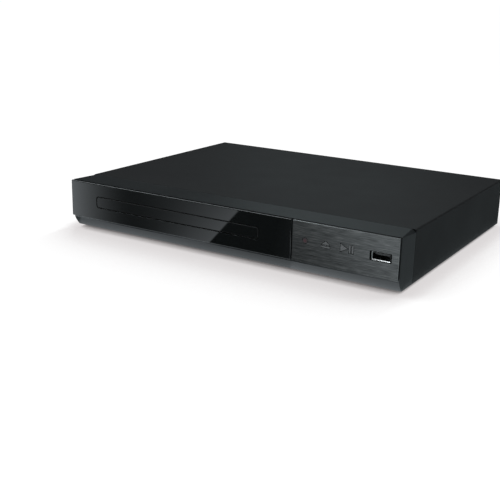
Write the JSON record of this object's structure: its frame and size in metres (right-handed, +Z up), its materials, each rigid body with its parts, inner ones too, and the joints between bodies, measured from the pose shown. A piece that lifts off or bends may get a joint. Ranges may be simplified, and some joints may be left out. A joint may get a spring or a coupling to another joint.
{
  "type": "disc player with tray",
  "caption": "Slim black disc player: a motor-driven tray slides out of the glossy front, beside push keys and a data socket.",
  "frame": {"origin": "on the ground, under the middle of the whole player", "axes": "+X right seen from the front, +Y from the front to the back, +Z up"},
  "size_m": [0.27, 0.2196, 0.0385],
  "materials": {
    "gloss_black": "high gloss",
    "hairline_grey": "dark, fine horizontal hairlines",
    "bezel_grey": "fine satin grain",
    "key_grey": "satin",
    "key_red": "clear red window in a dark key",
    "cover_black": "satin textured paint",
    "zinc_sheet": "zinc plated",
    "bright_steel": "bright plated",
    "screw_black": "black oxide",
    "tray_black": "satin moulded",
    "loader_black": "moulded",
    "gear_cream": "moulded acetal",
    "clamp_white": "moulded",
    "magnet_grey": "plated",
    "rubber_black": "soft",
    "brass": "turned",
    "lens_glass": "coated",
    "board_green": "solder mask",
    "board_tan": "bare laminate",
    "chip_black": "moulded epoxy",
    "sink_aluminium": "extruded",
    "can_blue": "sleeved",
    "socket_cream": "moulded",
    "winding_yellow": "taped windings",
    "socket_black": "moulded",
    "insert_colour": "one yellow, one white and one red",
    "lamp_red": "diffusing"
  },
  "bodies": {
    "cabinet": {"front_plate": "gloss_black", "control_plate": "hairline_grey", "front_bezel": "bezel_grey", "usb_shell": "bright_steel", "usb_tongue": "socket_black", "usb_board": "board_green", "front_board": "board_green", "key_switches": "socket_black", "remote_eye": "chip_black", "standby_lamp": "lamp_red", "top_cover": "cover_black", "bottom_chassis": "zinc_sheet", "rear_panel": "cover_black", "cover_screws": "screw_black", "rubber_feet": "rubber_black", "loader_frame": "loader_black", "loader_screws": "zinc_sheet", "loading_motor": "zinc_sheet", "drive_belt": "rubber_black", "clamp_bridge": "loader_black", "pivot_bushes": "rubber_black", "main_board": "board_green", "board_chips": "chip_black", "heat_sink": "sink_aluminium", "signal_capacitors": "can_blue", "board_sockets": "socket_cream", "board_screws": "zinc_sheet", "power_board": "board_tan", "transformer": "winding_yellow", "mains_capacitor": "chip_black", "power_parts": "can_blue", "jack_block": "socket_black", "jack_barrels": "bright_steel", "jack_inserts": "insert_colour", "mains_inlet": "socket_black", "inlet_pins": "brass"},
    "tray": {"disc_tray": "tray_black", "tray_door": "gloss_black"},
    "power_key": {"power_key": "key_red"},
    "eject_key": {"eject_key": "key_grey"},
    "play_key": {"play_key": "key_grey"},
    "motor_pulley": {"motor_pulley": "gear_cream"},
    "pulley_gear": {"pulley_gear": "gear_cream"},
    "drive_gear": {"drive_gear": "gear_cream"},
    "cam_slider": {"cam_slider": "gear_cream"},
    "drive_unit": {"unit_frame": "loader_black", "spindle_motor": "zinc_sheet", "guide_rods": "bright_steel", "feed_motor": "zinc_sheet"},
    "turntable": {"turntable": "loader_black", "turntable_pad": "rubber_black"},
    "pickup": {"pickup_sled": "loader_black", "pickup_lens": "lens_glass", "feed_rack": "gear_cream"},
    "feed_wheel": {"feed_wheel": "gear_cream"},
    "feed_pinion": {"feed_pinion": "brass"},
    "disc_clamp": {"disc_clamp": "clamp_white", "clamp_magnet": "magnet_grey"}
  },
  "joints": [
    {"name": "tray_slide", "type": "slide", "parent": "cabinet", "child": "tray", "axis": [0, -1, 0], "range_m": [0, 0.135]},
    {"name": "drive_gear_turn", "type": "hinge", "parent": "cabinet", "child": "drive_gear", "pos_m": [-0.0871, -0.06375, 0.019], "axis": [0, 0, 1], "range_deg": [0, 645.08]},
    {"name": "pulley_gear_turn", "type": "hinge", "parent": "cabinet", "child": "pulley_gear", "pos_m": [-0.0668, -0.07322, 0.018], "axis": [0, 0, 1], "range_deg": [-1611.94, 0]},
    {"name": "motor_pulley_turn", "type": "hinge", "parent": "cabinet", "child": "motor_pulley", "pos_m": [-0.0423, -0.07522, 0.017], "axis": [0, 0, 1], "range_deg": [-5338.41, 0]},
    {"name": "cam_slide", "type": "slide", "parent": "cabinet", "child": "cam_slider", "axis": [1, 0, 0], "range_m": [0, 0.012]},
    {"name": "unit_tilt", "type": "hinge", "parent": "cabinet", "child": "drive_unit", "pos_m": [-0.0381, 0.05525, 0.0095], "axis": [1, 0, 0], "range_deg": [0, 3.56]},
    {"name": "spindle_spin", "type": "hinge", "parent": "drive_unit", "child": "turntable", "pos_m": [-0.0381, -0.03775, 0.0229], "axis": [0, 0, 1], "continuous": true},
    {"name": "clamp_spin", "type": "hinge", "parent": "cabinet", "child": "disc_clamp", "pos_m": [-0.0381, -0.03775, 0.0299], "axis": [0, 0, 1], "continuous": true},
    {"name": "pickup_slide", "type": "slide", "parent": "drive_unit", "child": "pickup", "axis": [0, 1, 0], "range_m": [0, 0.036]},
    {"name": "feed_wheel_turn", "type": "hinge", "parent": "drive_unit", "child": "feed_wheel", "pos_m": [-0.0051, 0.00825, 0.012], "axis": [0, 0, 1], "range_deg": [-368.83, 0]},
    {"name": "feed_pinion_turn", "type": "hinge", "parent": "drive_unit", "child": "feed_pinion", "pos_m": [0.00065, 0.01821, 0.014], "axis": [0, 0, 1], "range_deg": [0, 842.4]},
    {"name": "power_press", "type": "slide", "parent": "cabinet", "child": "power_key", "axis": [0, 1, 0], "range_m": [0, 0.0005], "stiffness_N_per_m": 2500},
    {"name": "eject_press", "type": "slide", "parent": "cabinet", "child": "eject_key", "axis": [0, 1, 0], "range_m": [0, 0.0005], "stiffness_N_per_m": 2500},
    {"name": "play_press", "type": "slide", "parent": "cabinet", "child": "play_key", "axis": [0, 1, 0], "range_m": [0, 0.0005], "stiffness_N_per_m": 2500}
  ],
  "couplings": [
    {"joint": "drive_gear_turn", "follows": "tray_slide", "rad_per_m": 83.333},
    {"joint": "pulley_gear_turn", "follows": "tray_slide", "rad_per_m": -208.33},
    {"joint": "motor_pulley_turn", "follows": "tray_slide", "rad_per_m": -690.1},
    {"joint": "cam_slide", "follows": "tray_slide", "ratio": 0.088889},
    {"joint": "unit_tilt", "follows": "tray_slide", "rad_per_m": 0.45916},
    {"joint": "clamp_spin", "follows": "spindle_spin", "ratio": 1},
    {"joint": "feed_wheel_turn", "follows": "pickup_slide", "rad_per_m": -178.57},
    {"joint": "feed_pinion_turn", "follows": "pickup_slide", "rad_per_m": 408.16}
  ]
}
